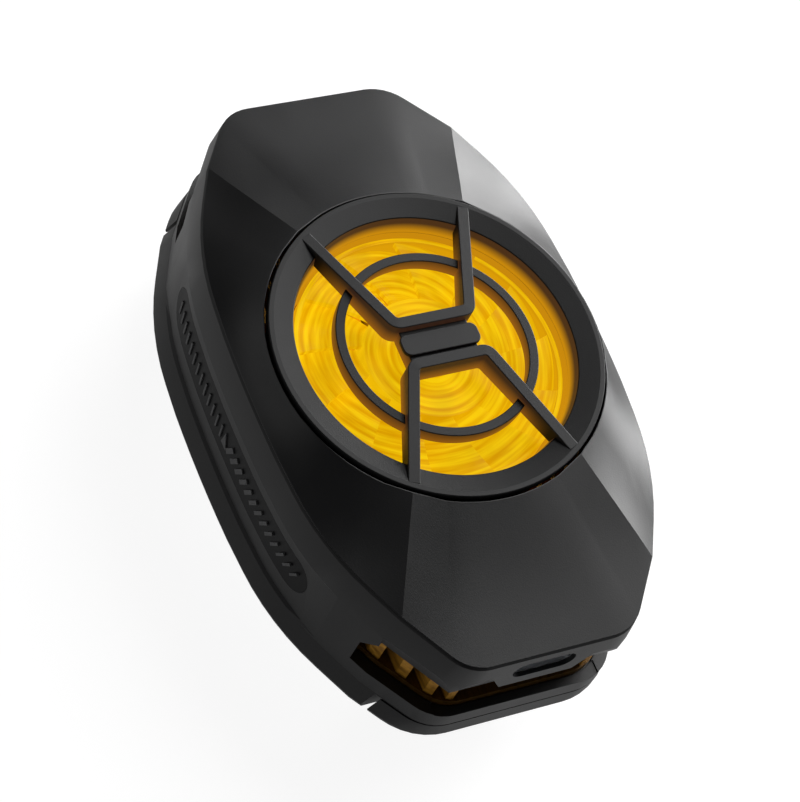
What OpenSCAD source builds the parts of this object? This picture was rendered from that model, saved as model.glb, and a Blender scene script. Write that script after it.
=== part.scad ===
// Clip-on cooling fan for a phone: a thermoelectric cooler with a fan under a round intake grille,
// exhaust vents at both ends and two sprung jaws that slide out along Y.
// Frame: X across, Y along the clamping direction with the socket end at -Y, Z up.
// The origin is at the centre of the plane that the claws stand on. Millimetres.

/* [Body] */
// Length of the body, along the clamping direction
body_l = 86.4; // [85:0.2:92]
// Width of the body at its foot, where it is widest
body_w = 55.2; // [54.4:0.2:58]
// Height from the underside to the rim of the air intake
body_h = 25.3; // [25:0.1:28]
// Thickness of the housing walls
wall = 1.2; // [1.1:0.1:1.8]
// Distance from an end back to where a long side meets its corner cut
corner_back = 23.2; // [22.6:0.1:23.8]
// Direction in which the corner cuts beside the long sides face, in degrees from X
side_cut_angle = 27.5; // [26:0.5:29]
// How much narrower the ends are than the body, on each side
end_step = 13.9; // [13.5:0.1:14.3]
// Direction in which the corner cuts beside the ends face, in degrees from X
end_cut_angle = 36; // [34:0.5:38]
// Radius of the bow of the long sides
side_bow_r = 214; // [170:1:400]
// Rounding of the corners beside the end faces
end_round = 6.2; // [5:0.1:8]
// Rounding of the corners beside the long sides
side_round = 40; // [20:1:45]

/* [Flanks] */
// How far the foot stands out beyond the lid's edge
foot_out = 1.6; // [1:0.1:2]
// How far the underside's edge draws in again below the foot's widest line
foot_in = 0.2; // [0.1:0.05:0.4]
// Height of the foot's widest line
foot_z = 0.6; // [0.4:0.1:1]
// Height at which the flared foot ends and the groove starts
groove_low_z = 3.2; // [3.1:0.1:4]
// How far below the lid's edge the groove ends
groove_drop = 5.5; // [4.9:0.1:6.1]
// How far the groove's edges stand out beyond the lid's edge
flank_out = 0.5; // [0.2:0.1:0.8]
// Depth of the groove
groove_depth = 0.4; // [0.3:0.05:0.6]
// Half length of the groove, where it has faded out
groove_half = 27; // [26:0.1:28]

/* [Lid] */
// Height of the lid from its edge on the long sides up to the intake rim
lid_rise = 5.2; // [4.8:0.1:5.6]
// How much lower the lid's edge lies at the ends
lid_end_drop = 1.0; // [0.4:0.1:1.2]
// Thickness of the lid
lid_t = 1.6; // [1.2:0.1:1.8]
// Angle on the intake rim where a ridge starts, in degrees from X
ridge_angle = 58; // [54:0.5:62]
// How far the lid's facets sink below the ridges between them
facet_hollow = 0.5; // [0:0.05:0.7]
// Height and depth of the half groove along the lid's seam
seam_groove = 0.35; // [0.2:0.05:0.5]

/* [Intake grille] */
// Outer radius of the intake rim
rim_r = 23; // [22.6:0.1:23.2]
// Width of the flat lip of the rim
rim_lip = 0.7; // [0.5:0.1:1]
// Gap between the rim and the lid
rim_gap = 0.4; // [0.3:0.05:0.6]
// How far the lid's opening lies below the rim
rim_proud = 0.25; // [0.1:0.05:0.5]
// Radius of the throat below the funnel
throat_r = 19; // [18.6:0.1:19.2]
// Depth of the grille from the rim to the throat's lower end
grille_depth = 3.3; // [3:0.1:3.5]
// Width of the spokes
spoke_w = 1.55; // [1.2:0.05:2]
// Depth of the spokes and bars at the middle
spoke_depth = 3.5; // [3:0.1:3.8]
// How far the bars stand above the rim
spoke_rise = 1.2; // [0.8:0.1:1.6]
// Half length of the bars beside the centre plate
bar_half = 5.5; // [5:0.1:6]
// Distance of the bars' middle line from the axis
bar_y = 3.1; // [2.9:0.1:3.4]
// Outer radius of the middle ring
ring_r = 13.9; // [13:0.1:15]
// Width of the middle ring
ring_w = 1.3; // [1:0.1:1.6]
// Depth of the middle ring
ring_depth = 2; // [1.5:0.1:2.3]
// How far the middle ring lies below the rim
ring_drop = 0.5; // [0.3:0.1:0.8]
// Length of the plate at the centre
plate_l = 11.4; // [10.6:0.1:12]
// Width of the plate at the centre
plate_w = 3.3; // [2.8:0.1:3.6]
// Thickness of the plate at the centre
plate_t = 1.0; // [0.6:0.1:1.4]

/* [Fan] */
// Radius of the hub
hub_r = 9; // [8.6:0.1:9.6]
// Number of blades
blade_count = 13; // [9:1:15]
// Arc that each blade covers, in degrees
blade_arc = 36; // [28:1:40]
// Height that each blade climbs along its arc
blade_h = 3.2; // [2.8:0.1:4.6]
// Thickness of the blades
blade_t = 0.8; // [0.6:0.1:1.1]
// Thickness of the ring that joins the blade tips
tip_ring_t = 0.6; // [0.5:0.05:0.8]
// Gap between that ring and the throat's radius
tip_gap = 0.5; // [0.4:0.05:0.8]
// Gap above the hub and below the grille
fan_gap = 0.8; // [0.6:0.1:1.2]
// Height of the fan frame, from the heat sink's fins up to the grille
fan_h = 10.2; // [10:0.1:10.6]
// Thickness of the fan frame's ring
frame_wall = 1.6; // [1.2:0.1:1.8]
// Thickness of the fan frame's floor and struts
frame_floor = 1.2; // [1:0.1:1.4]
// Radius of the shaft
shaft_r = 1; // [0.8:0.05:1.1]
// Radial clearance between the shaft and its bush
shaft_gap = 0.03; // [0.02:0.01:0.06]
// Wall of the bush
bush_wall = 1.1; // [1:0.1:1.3]

/* [Cooling stack] */
// Side of the square cold plate's face
cold_w = 34; // [33:0.5:35]
// How far the cold plate stands out of the underside
cold_proud = 0.6; // [0.3:0.1:1]
// Side of the thermoelectric module
tec_w = 30; // [26:0.5:31]
// Thickness of the thermoelectric module
tec_t = 3.2; // [2.8:0.1:3.4]
// Thickness of the heat sink's base
sink_base = 1.4; // [1.2:0.1:1.8]
// How far the fins end inside the base's edge
fin_inset = 0.2; // [0.1:0.1:1]
// Half width of the clear room between the fins and the end vents
plenum_half = 9.3; // [9.2:0.1:9.4]
// Length of that room, from the end faces in
plenum_l = 4.7; // [4.6:0.1:5]
// Distance from fin to fin
fin_pitch = 2.5; // [2.2:0.1:3.2]
// Thickness of a fin
fin_t = 0.9; // [0.7:0.1:1.1]

/* [Vents and socket] */
// Thickness of the ledge between a jaw's end and the vent
ledge_t = 2.9; // [2.6:0.1:3.2]
// How far the vents' top lies above the fins
vent_over = 0.15; // [0:0.05:0.3]
// Where a vent starts along the corner cut beside the end, from the middle's perpendicular
vent_start = 14.1; // [13.6:0.1:14.8]
// Width of the slant at a vent's start
vent_slant = 2.5; // [2:0.1:3]
// How far a vent's top rises towards its start
vent_rise = 1.0; // [0.4:0.1:1.2]
// Height of the bevel above a vent, beside the apron
scoop_h = 3.2; // [2.8:0.1:3.4]
// Depth of that bevel at the vent's edge
scoop_depth = 0.9; // [0.6:0.05:1.2]
// Half width of the apron below the socket
apron_half = 5.5; // [5.2:0.1:6]
// Width of the slant beside the apron
apron_slant = 3.9; // [3:0.1:4.4]
// Width of the charging socket
port_w = 8.94; // [8.94:0.02:9.1]
// Height of the charging socket
port_h = 3.26; // [3.2:0.02:3.3]
// Length of the charging socket
port_l = 7.3; // [6.5:0.1:8]
// Thickness of the circuit board
board_t = 1.0; // [0.8:0.1:1.2]

/* [Jaws] */
// Thickness of the rear cover
cover_t = 1.2; // [1:0.1:1.4]
// Thickness of the jaws' slide plates
slide_t = 1.35; // [1.2:0.05:1.6]
// Room above the slide plates for the springs
bay_h = 1.25; // [1.1:0.05:1.6]
// Half width of the jaws' slide plates
slide_half = 12.5; // [11.5:0.1:13]
// Running clearance of the jaws
slide_gap = 0.25; // [0.15:0.05:0.35]
// Gap between the body and a jaw's end, seen as a notch in the foot
notch = 0.8; // [0.5:0.1:1]
// Length of a jaw's end block and its notch
jaw_l = 6.5; // [5.8:0.1:6.6]
// Width of the claws
claw_w = 20; // [16:0.5:21]
// Drop of the claws below the underside
claw_drop = 11; // [10:0.1:12.5]
// Thickness of a claw's wall
claw_t = 2.5; // [2:0.1:2.8]
// Thickness of a claw's lip
lip_t = 1.5; // [1.2:0.1:2]
// How far the lip reaches in past the pad
lip_reach = 2.3; // [1.5:0.1:3]
// How far the pads lie inside the end blocks
grip_back = 4.1; // [3.9:0.1:4.5]
// Thickness of the claws' pads
pad_t = 1; // [0.8:0.1:1.2]

/* [Springs and screws] */
// Distance of the springs from the middle line
spring_x = 8; // [7:0.1:9]
// Mean radius of the springs' coils
coil_r = 1.0; // [0.8:0.05:1.1]
// Radius of the spring wire
wire_r = 0.22; // [0.15:0.01:0.25]
// Number of coils in a spring
coils = 7; // [5:1:8]
// Radius of the posts that hold the springs
post_r = 0.8; // [0.6:0.05:0.9]
// Distance from a jaw's end block back to its springs' posts
hook_back = 7.3; // [7:0.1:8]
// Distance of the case screws from the rear cover's long edges
screw_inset = 6.4; // [6:0.1:7]
// Radius of the case screws' shanks
screw_r = 1; // [0.8:0.05:1.1]
// Radius of the case screws' heads
head_r = 1.9; // [1.6:0.05:2]
// Thickness of the case screws' heads
head_h = 0.5; // [0.4:0.05:0.55]

/* [Flank marks] */
// Height of the inlay strips
inlay_h = 6; // [5:0.1:7]
// Half length of the inlay strips
inlay_half = 23; // [22:0.1:23.5]
// Thickness of the inlay strips
inlay_t = 0.8; // [0.6:0.1:1]
// Distance from mark to mark
mark_pitch = 1.58; // [1.4:0.02:1.6]
// Height of a mark
mark_h = 2.3; // [1.8:0.1:2.8]
// Thickness of a thin mark
mark_thin = 0.35; // [0.3:0.05:0.5]
// Thickness of the thickest mark
mark_thick = 0.8; // [0.6:0.05:0.9]
// How far a mark stands out
mark_proud = 0.2; // [0.1:0.05:0.3]

/* [Hidden] */
$fn = 96;

// Colours
shell_black = [0.07, 0.07, 0.075];
grille_black = [0.13, 0.13, 0.135];
fan_yellow = [0.95, 0.72, 0.03];
sink_amber = [0.85, 0.5, 0.08];
steel = [0.62, 0.63, 0.65];
rubber_black = [0.05, 0.05, 0.05];

// Small clearances: fit of pieces that stay put, and overlap of parts fused into one piece
fit = 0.1;
seat = 0.04;
fuse = 0.2;

// Longer than any cut
big = 100;

// Heights of the stack, from the underside up
seam_z = cover_t + slide_t + 2 * slide_gap;
deck_z = seam_z + bay_h;
deck_t = 1.1;
deck_top = deck_z + deck_t;
sink_top = deck_top + sink_base;
grille_z = body_h - grille_depth;
fins_top = grille_z - fan_h;
ledge_top = seam_z + ledge_t;
vent_h = fins_top + vent_over - ledge_top;
board_pad_t = 1.1;
board_z = fins_top + board_pad_t;
board_top = board_z + board_t;
port_z = board_top + port_h / 2;
lid_edge_z = body_h - lid_rise;
groove_top_z = lid_edge_z - groove_drop;
hub_top = grille_z - fan_gap;
tec_z = deck_top - tec_t;

// Ends of the housing's lower walls and of the jaws, and half of the smallest grip between the pads
jaw_y = body_l / 2 - jaw_l;
block_y = jaw_y + notch;
grip_half = block_y - grip_back;

// Half sizes of the outline at the lid's edge, and the corner cuts' directions and distances from the middle
lid_hw = body_w / 2 - foot_out;
lid_hl = body_l / 2;
side_n = [cos(side_cut_angle), sin(side_cut_angle)];
end_n = [cos(end_cut_angle), sin(end_cut_angle)];
side_cut = side_n * [lid_hw, lid_hl - corner_back];
end_cut = end_n * [lid_hw - end_step, lid_hl];

// How far the body stands out beyond the lid's edge at height z
function out_at(z) = lookup(z, [[0, foot_out - foot_in], [foot_z, foot_out], [groove_low_z, flank_out],
                                [groove_top_z, flank_out], [lid_edge_z, 0]]);

// Outlines: bowed long sides, two corner cuts that meet in a ridge point, and straight ends
side_steps = 4;
corner_steps = 6;
end_steps = 4;
foot_softness = 4;
ridge_i = side_steps + corner_steps + 1;

function unit(v) = v / norm(v);

// Points of the arc of radius r that rounds corner b between a and c
function rounded_corner(a, b, c, r, steps = corner_steps) =
    let (u = unit(a - b), v = unit(c - b), half = acos(u * v) / 2,
         centre = b + unit(u + v) * r / sin(half),
         p = b + u * r / tan(half) - centre,
         q = b + v * r / tan(half) - centre)
    [for (i = [0:steps]) centre + r * unit(p * (steps - i) + q * i)];

// Polygon with each corner rounded by its own radius, or sharp where that is 0
function rounded_polygon(points, radii) =
    let (n = len(points))
    [for (i = [0:n - 1]) each radii[i] == 0 ? [points[i]]
        : rounded_corner(points[(i + n - 1) % n], points[i], points[(i + 1) % n], radii[i])];

// Point where two lines meet, each given by its normal and its distance from the middle
function meet(n1, d1, n2, d2) =
    [d1 * n2.y - d2 * n1.y, d2 * n1.x - d1 * n2.x] / (n1.x * n2.y - n2.x * n1.y);

// First quarter of an outline, from the long side's middle to the end's middle, that stands out beyond the
// lid's edge, or lies inside it where out is below 0. The ends stand upright, so they don't stand out
function quarter(out) =
    let (hw = lid_hw + out,
         hl = lid_hl + min(out, 0),
         round_r = end_round + foot_softness * max(0, out - flank_out),
         a = -side_n.x / (2 * side_bow_r),
         c = side_n.x * hw - side_cut - out,
         corner_y = (-side_n.y + sqrt(side_n.y ^ 2 - 4 * a * c)) / (2 * a),
         side_corner = [hw - corner_y ^ 2 / (2 * side_bow_r), corner_y],
         ridge = meet(side_n, side_cut + out, end_n, end_cut + out),
         end_corner = meet(end_n, end_cut + out, [0, 1], hl),
         side_reach = corner_y - side_round * tan(side_cut_angle / 2),
         side = [for (i = [0:side_steps - 1]) let (y = side_reach * i / side_steps)
                 [hw - y ^ 2 / (2 * side_bow_r), y]],
         end_arc = rounded_corner(ridge, end_corner, [0, hl], round_r),
         last_x = end_arc[corner_steps].x)
    concat(side,
           rounded_corner(side[side_steps - 1], side_corner, ridge, side_round),
           [ridge],
           end_arc,
           [for (i = [1:end_steps]) [last_x * (1 - i / end_steps), hl]]);

// The same with the long side drawn in to the groove, which fades out towards the corner cuts
function groove_fade(y) = min(1, max(0, (groove_half - y) / (groove_half - inlay_half)));
function grooved_quarter(out) =
    [for (p = quarter(out)) [p.x - groove_depth * groove_fade(p.y), p.y]];

// Whole loop from its first quarter, anticlockwise
function full_loop(q) =
    let (n = len(q) - 1)
    concat([for (i = [0:n - 1]) q[i]],
           [for (i = [n:-1:1]) [-q[i].x, q[i].y]],
           [for (i = [0:n - 1]) -q[i]],
           [for (i = [n:-1:1]) [q[i].x, -q[i].y]]);

function outline(out) = full_loop(quarter(out));
function at_height(loop, z) = [for (p = loop) [p.x, p.y, z]];

// The lid's edge dips from the ridges to the ends
lid_quarter = quarter(0);
lid_loop = full_loop(lid_quarter);
ridge_y = lid_quarter[ridge_i].y;
function edge_dip(p) = lid_end_drop * max(0, (abs(p.y) - ridge_y) / (lid_hl - ridge_y));
function along_edge(out, dz) =
    let (loop = outline(out))
    [for (i = [0:len(loop) - 1]) [loop[i].x, loop[i].y, lid_edge_z - edge_dip(lid_loop[i]) + dz]];

// Circle whose points face those of the lid's edge, with a ridge at each ridge angle
function run_length(q, from, to) =
    from >= to ? 0 : norm(q[from + 1] - q[from]) + run_length(q, from + 1, to);
function rim_turn(i) =
    i <= ridge_i ? ridge_angle * run_length(lid_quarter, 0, i) / run_length(lid_quarter, 0, ridge_i)
    : ridge_angle + (90 - ridge_angle) * run_length(lid_quarter, ridge_i, i)
        / run_length(lid_quarter, ridge_i, len(lid_quarter) - 1);
function rim_loop(r, z) =
    let (turns = [for (i = [0:len(lid_quarter) - 1]) rim_turn(i)])
    at_height(full_loop([for (a = turns) r * [cos(a), sin(a)]]), z);

// Skin over a row of matching loops, capped at both ends or closed into a ring
module loft(rings, ring = false) {
    n = len(rings[0]);
    m = len(rings);
    ends = ring ? [] : [mean(rings[0]), mean(rings[m - 1])];
    points = concat([for (loop = rings) each loop], ends);
    skin = [for (j = [0:m - (ring ? 1 : 2)], i = [0:n - 1])
            let (a = j * n + i, b = j * n + (i + 1) % n,
                 c = (j + 1) % m * n + (i + 1) % n, d = (j + 1) % m * n + i)
            each [[a, d, c], [a, c, b]]];
    foot = [for (i = [0:n - 1]) [m * n, i, (i + 1) % n]];
    head = [for (i = [0:n - 1]) [m * n + 1, (m - 1) * n + (i + 1) % n, (m - 1) * n + i]];
    polyhedron(points, ring ? skin : concat(skin, foot, head));
}

function mean(loop) = [for (k = [0:2]) [for (p = loop) p[k]] * [for (p = loop) 1] / len(loop)];

// Everything but the claws stands on the underside, which the claws hold up
module raised() translate([0, 0, claw_drop]) children();

module bar(low, high) translate(low) cube(high - low);

module tube(r_out, r_in, low, high) {
    difference() {
        translate([0, 0, low]) cylinder(r = r_out, h = high - low);
        translate([0, 0, low - 1]) cylinder(r = r_in, h = high - low + 2);
    }
}

module mirrored_x() {
    children();
    mirror([1, 0, 0]) children();
}

module four_corners() {
    for (flip_x = [0, 1], flip_y = [0, 1]) mirror([flip_x, 0, 0]) mirror([0, flip_y, 0]) children();
}

// Lid: facets between its edge and the round intake, which sink a little between the four ridges.
// The sink grows from the edge, where t is 0, to its share at the intake, where t is 1
hollow_at_rim = 0.6;
hollow_between = 3.2;
function facet_sink(p) = abs(abs(p.y) - ridge_y) < seat ? 0 : facet_hollow;
function facet_loop(low, high, t) =
    let (share = hollow_at_rim * t + hollow_between * t * (1 - t))
    [for (i = [0:len(low) - 1])
        low[i] + t * (high[i] - low[i]) - [0, 0, facet_sink(lid_loop[i]) * share]];

module top_lid() {
    steps = 4;
    hole_r = rim_r + rim_gap;
    edge = along_edge(0, seam_groove);
    hole = rim_loop(hole_r, body_h - rim_proud);
    color(shell_black) raised()
        loft(concat([for (k = [0:steps]) facet_loop(edge, hole, k / steps)],
                    [rim_loop(hole_r, body_h - rim_proud - lid_t), along_edge(-lid_t, seat),
                     along_edge(-seam_groove, seat)]), ring = true);
}

// Grille: funnel, middle ring and two bent brackets in one moulding
arm_foot = [bar_half, bar_y];
arm_end = (rim_r - rim_lip) * [cos(ridge_angle), sin(ridge_angle)];
arm_end_depth = 1.2;
funnel_step = 0.65;
funnel_depth = 2.1;
rim_depth = 1.3;
shelf_top = body_h + spoke_rise - plate_t - fuse;

module grille_arm() {
    run = arm_end - arm_foot;
    reach = norm(run);
    low = body_h + spoke_rise - spoke_depth + seat;
    translate([arm_foot.x, arm_foot.y, 0]) rotate([90, 0, atan2(run.y, run.x)])
        linear_extrude(height = spoke_w, center = true)
            polygon([[-spoke_w / 3, low], [reach - rim_lip * 2, low], [reach + seat, body_h - arm_end_depth],
                     [reach + seat, body_h - seat], [-spoke_w / 3, body_h + spoke_rise - seat]]);
}

module intake_grille() {
    color(grille_black) raised() {
        rotate_extrude()
            polygon([[rim_r, body_h], [rim_r - rim_lip, body_h],
                     [throat_r + funnel_step, body_h - funnel_depth], [throat_r, grille_z],
                     [throat_r + frame_wall, grille_z], [rim_r, body_h - rim_depth]]);
        tube(ring_r, ring_r - ring_w, body_h - ring_drop - ring_depth, body_h - ring_drop);
        four_corners() grille_arm();
        for (side = [-1, 1])
            bar([-bar_half - spoke_w / 3, side * bar_y - spoke_w / 2, body_h + spoke_rise - spoke_depth],
                [bar_half + spoke_w / 3, side * bar_y + spoke_w / 2, body_h + spoke_rise]);
        bar([-bar_half + spoke_w / 2, -bar_y, shelf_top - plate_t],
            [bar_half - spoke_w / 2, bar_y, shelf_top]);
    }
}

// Bare plate at the centre of the grille
module centre_plate() {
    straight = plate_l - plate_w;
    color(grille_black) raised() translate([0, 0, shelf_top]) {
        bar([-straight / 2, -plate_w / 2, 0], [straight / 2, plate_w / 2, plate_t]);
        for (side = [-1, 1]) translate([side * straight / 2, 0, 0]) cylinder(d = plate_w, h = plate_t);
    }
}

// Slot with round ends, along X and through Y
module slot_y(w, h, depth) {
    rotate([90, 0, 0]) linear_extrude(height = depth) {
        square([w - h, h], center = true);
        for (side = [-1, 1]) translate([side * (w - h) / 2, 0]) circle(d = h);
    }
}

// Cut that bevels a wall whose face lies at x = face, above a vent that opens at height 0, along +Y
module scoop(face, length) {
    rotate([90, 0, 0]) mirror([0, 0, 1]) linear_extrude(height = length)
        polygon([[face - scoop_depth, vent_h - fuse], [face + wall, vent_h - fuse],
                 [face + wall, vent_h + scoop_h], [face, vent_h + scoop_h], [face - scoop_depth, vent_h]]);
}

// Vent in one corner cut: a slot through the wall with a slanted start, and the bevel above it
vent_shoulder = 1.5;

module corner_vent() {
    end_along = meet(end_n, end_cut, [0, 1], lid_hl) * [-end_n.y, end_n.x];
    depth = 2 * wall;
    top = vent_start + vent_slant;
    rotate([0, 0, end_cut_angle]) translate([end_cut, 0, ledge_top]) {
        translate([-depth, 0, 0]) rotate([90, 0, 90]) linear_extrude(height = depth + wall)
            polygon([[vent_start, 0], [end_along + wall, 0], [end_along + wall, vent_h - fuse],
                     [top, vent_h + vent_rise], [vent_start, vent_h - vent_shoulder]]);
        translate([0, top - fuse, 0]) scoop(flank_out, end_along - top + 2 * wall);
    }
}

// Vent across one end, with an apron below the socket
module end_vent() {
    end_x = meet(end_n, end_cut, [0, 1], lid_hl).x;
    depth = 2 * wall;
    translate([0, lid_hl, ledge_top]) {
        bar([-end_x - fuse, -depth, -fuse], [end_x + fuse, wall, vent_h]);
        mirrored_x() intersection() {
            rotate([0, 0, 90]) translate([0, -body_w / 2, 0]) scoop(0, body_w);
            rotate([90, 0, 0]) linear_extrude(height = body_l, center = true)
                polygon([[apron_half - fuse, vent_h - fuse], [apron_half + apron_slant, vent_h + 2 * scoop_h],
                         [body_w, vent_h + 2 * scoop_h], [body_w, vent_h - fuse]]);
        }
    }
}

module vent_cuts() {
    four_corners() corner_vent();
    for (flip_y = [0, 1]) mirror([0, flip_y, 0]) end_vent();
}

// Edge of the cold plate's flange, and the case screws beyond it
flange_w = 2.2;
boss_wall = 1.2;
boss_gap = 0.5;
cold_flange = cold_w / 2 + flange_w;
boss_r = screw_r + boss_wall;
screw_x = lid_hw + flank_out - wall - fit - screw_inset;
screw_y = cold_flange + boss_gap + boss_r;

module screw_places() four_corners() translate([screw_x, screw_y, 0]) children();

// Face of the groove's wall at y, and the height of the marks on it
groove_line = [for (i = [0:ridge_i]) let (p = grooved_quarter(flank_out)[i]) [p.y, p.x]];
function groove_x(y) = lookup(abs(y), groove_line);
mark_lift = 0.4;
mark_z = (groove_low_z + groove_top_z) / 2 + mark_lift;

// Strip along the wall of the groove, between two depths below the wall's face
module flank_strip(top_off, bottom_off, grow) {
    reach = inlay_half + grow;
    half_ys = concat([for (p = groove_line) if (p[0] < reach) p[0]], [reach]);
    last = len(half_ys) - 1;
    ys = concat([for (i = [last:-1:1]) -half_ys[i]], half_ys);
    half_h = inlay_h / 2 + grow;
    intersection() {
        linear_extrude(height = body_h)
            polygon(concat([for (y = ys) [groove_x(y) - bottom_off, y]],
                           [for (i = [2 * last:-1:0]) [groove_x(ys[i]) - top_off, ys[i]]]));
        translate([0, 0, mark_z]) rotate([90, 0, 90]) linear_extrude(height = body_w) {
            square([2 * (reach - half_h), 2 * half_h], center = true);
            for (side = [-1, 1]) translate([side * (reach - half_h), 0]) circle(r = half_h);
        }
    }
}

// Main housing: walls, deck over the jaws, vents at both ends and the socket's slot
module mid_housing() {
    groove_bevel = 0.4;
    rings = concat([for (z = [0, foot_z, groove_low_z]) at_height(outline(out_at(z)), z)],
                   [for (z = [groove_low_z + groove_bevel, groove_top_z - groove_bevel])
                    at_height(full_loop(grooved_quarter(flank_out)), z)],
                   [at_height(outline(flank_out), groove_top_z)],
                   [along_edge(0, -seam_groove), along_edge(-seam_groove, 0)]);
    color(shell_black) raised() difference() {
        union() {
            difference() {
                loft(rings);
                translate([0, 0, -1]) linear_extrude(height = deck_z + 1)
                    polygon(outline(flank_out - wall));
                translate([0, 0, deck_top]) linear_extrude(height = body_h) polygon(outline(-wall));
            }
            screw_places() translate([0, 0, cover_t]) cylinder(r = boss_r, h = deck_z - cover_t + fuse);
        }
        screw_places() translate([0, 0, -1]) cylinder(r = screw_r + shaft_gap, h = deck_z);
        bar([-tec_w / 2 - fit, -tec_w / 2 - fit, deck_z - 1],
            [tec_w / 2 + fit, tec_w / 2 + fit, deck_top + 1]);
        for (flip_y = [0, 1]) mirror([0, flip_y, 0]) bar([-body_w, jaw_y, -1], [body_w, body_l, seam_z]);
        vent_cuts();
        translate([0, -lid_hl + wall + 1, port_z]) slot_y(port_w + 2 * fit, port_h + 2 * fit, 2 * wall);
        mirrored_x() flank_strip(-1, inlay_t + seat, seat);
    }
}

// Inlay strip in each flank's groove, with a row of moulded marks that changes direction at a small triangle
module flank_mark(y, thick, lean) {
    translate([groove_x(y), y, mark_z]) rotate([lean, 0, 0])
        bar([-inlay_t / 2, -thick / 2, -mark_h / 2], [mark_proud, thick / 2, mark_h / 2]);
}

module flank_inlay() {
    marks = 13;
    far_lean = -8;
    near_lean = 30;
    triangle = [[0.45, -0.5], [0.3, 0.5], [-0.55, -0.5]];
    flank_strip(0, inlay_t, 0);
    for (i = [1:marks]) {
        flank_mark(i * mark_pitch, mark_thin, far_lean);
        flank_mark(-i * mark_pitch, mark_thick + (mark_thin - mark_thick) * i / marks, near_lean);
    }
    translate([groove_x(0) - inlay_t / 2, 0, mark_z]) rotate([90, 0, 90])
        linear_extrude(height = inlay_t / 2 + mark_proud)
            polygon([for (p = triangle) [p.x * mark_pitch, p.y * mark_h]]);
}

module right_inlay() color(rubber_black) raised() flank_inlay();
module left_inlay() color(rubber_black) raised() mirror([1, 0, 0]) flank_inlay();

// Rear cover in the housing's foot: window for the cold plate, slots for the claws, posts for the springs
post_back = 1.6;
post_y = cold_flange + post_back;

module rear_cover() {
    color(shell_black) raised() {
        difference() {
            linear_extrude(height = cover_t) polygon(outline(flank_out - wall - fit));
            for (flip_y = [0, 1]) mirror([0, flip_y, 0]) {
                bar([-body_w, jaw_y, -1], [body_w, body_l, cover_t + 1]);
                bar([-claw_w / 2 - slide_gap, grip_half - slide_gap, -1],
                    [claw_w / 2 + slide_gap, body_l, cover_t + 1]);
            }
            bar([-cold_w / 2 - fit, -cold_w / 2 - fit, -1],
                [cold_w / 2 + fit, cold_w / 2 + fit, cover_t + 1]);
            screw_places() {
                translate([0, 0, -1]) cylinder(r = screw_r + fit, h = cover_t + 2);
                translate([0, 0, -1]) cylinder(r = head_r + fit, h = cover_t / 2 + 1);
            }
        }
        four_corners() translate([spring_x, post_y, cover_t - fuse])
            cylinder(r = post_r, h = deck_z - cover_t);
    }
}

// Cross-recessed screws that hold the cover to the housing
module case_screws() {
    slot_w = 0.5;
    slot_half = 1.1;
    color(steel) raised() screw_places() difference() {
        union() {
            translate([0, 0, cover_t / 2 - head_h]) cylinder(r = head_r, h = head_h);
            translate([0, 0, cover_t / 2 - fuse]) cylinder(r = screw_r, h = deck_z - cover_t / 2 - 1);
        }
        for (turn = [0, 90]) rotate([0, 0, turn])
            bar([-slot_half, -slot_w / 2, 0], [slot_half, slot_w / 2, cover_t / 2 - head_h / 2]);
    }
}

// Cold plate: a face that stands out of the underside and a flange that the cover holds
module cold_plate() {
    corner_r = 3;
    half = cold_w / 2 - corner_r;
    color(steel) raised() {
        intersection() {
            bar([-cold_w / 2, -cold_w / 2, -cold_proud], [cold_w / 2, cold_w / 2, tec_z]);
            union() {
                bar([-half, -cold_w, -big], [half, cold_w, big]);
                bar([-cold_w, -half, -big], [cold_w, half, big]);
                four_corners() translate([half, half, -big]) cylinder(r = corner_r, h = 2 * big);
            }
        }
        bar([-cold_flange, -cold_flange, cover_t], [cold_flange, cold_flange, tec_z]);
    }
}

// Foam frame round the thermoelectric module
module insulation_frame() {
    color(rubber_black) raised() difference() {
        bar([-cold_w / 2, -cold_w / 2, tec_z], [cold_w / 2, cold_w / 2, deck_z]);
        bar([-tec_w / 2 - fit, -tec_w / 2 - fit, tec_z - 1],
            [tec_w / 2 + fit, tec_w / 2 + fit, deck_z + 1]);
    }
}

// Thermoelectric module: two ceramic plates with rows of legs between them
module tec_module() {
    plate = 0.8;
    margin = 1;
    rows = 8;
    pitch = (tec_w - 2 * margin) / rows;
    leg = pitch / 2;
    color("white") raised() translate([0, 0, tec_z]) {
        bar([-tec_w / 2, -tec_w / 2, 0], [tec_w / 2, tec_w / 2, plate]);
        bar([-tec_w / 2, -tec_w / 2, tec_t - plate], [tec_w / 2, tec_w / 2, tec_t]);
        for (i = [0.5:rows]) translate([(i - rows / 2) * pitch - leg / 2, -tec_w / 2 + margin, plate - fuse])
            cube([leg, tec_w - 2 * margin, tec_t - 2 * plate + 2 * fuse]);
    }
}

// Heat sink with straight fins that lead the air to both ends
module heat_sink() {
    sink_gap = 0.2;
    base_out = -wall - sink_gap;
    fins = floor((lid_hw + base_out - fin_inset - fin_t) / fin_pitch);
    color(sink_amber) raised() {
        translate([0, 0, deck_top]) linear_extrude(height = sink_base) polygon(outline(base_out));
        intersection() {
            linear_extrude(height = body_h) polygon(outline(base_out - fin_inset));
            for (i = [-fins:fins]) {
                reach = abs(i) * fin_pitch < plenum_half ? lid_hl - plenum_l : body_l;
                bar([i * fin_pitch - fin_t / 2, -reach, sink_top - fuse],
                    [i * fin_pitch + fin_t / 2, reach, fins_top]);
            }
        }
    }
}

// Circuit board behind the socket, on a soft pad over the fins
board_gap = 0.6;
board_back = 1.2;
board_y0 = -lid_hl + wall + board_gap;
board_y1 = -throat_r - frame_wall - board_back;
board_half = 14;
neck_gap = 1.5;

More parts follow.
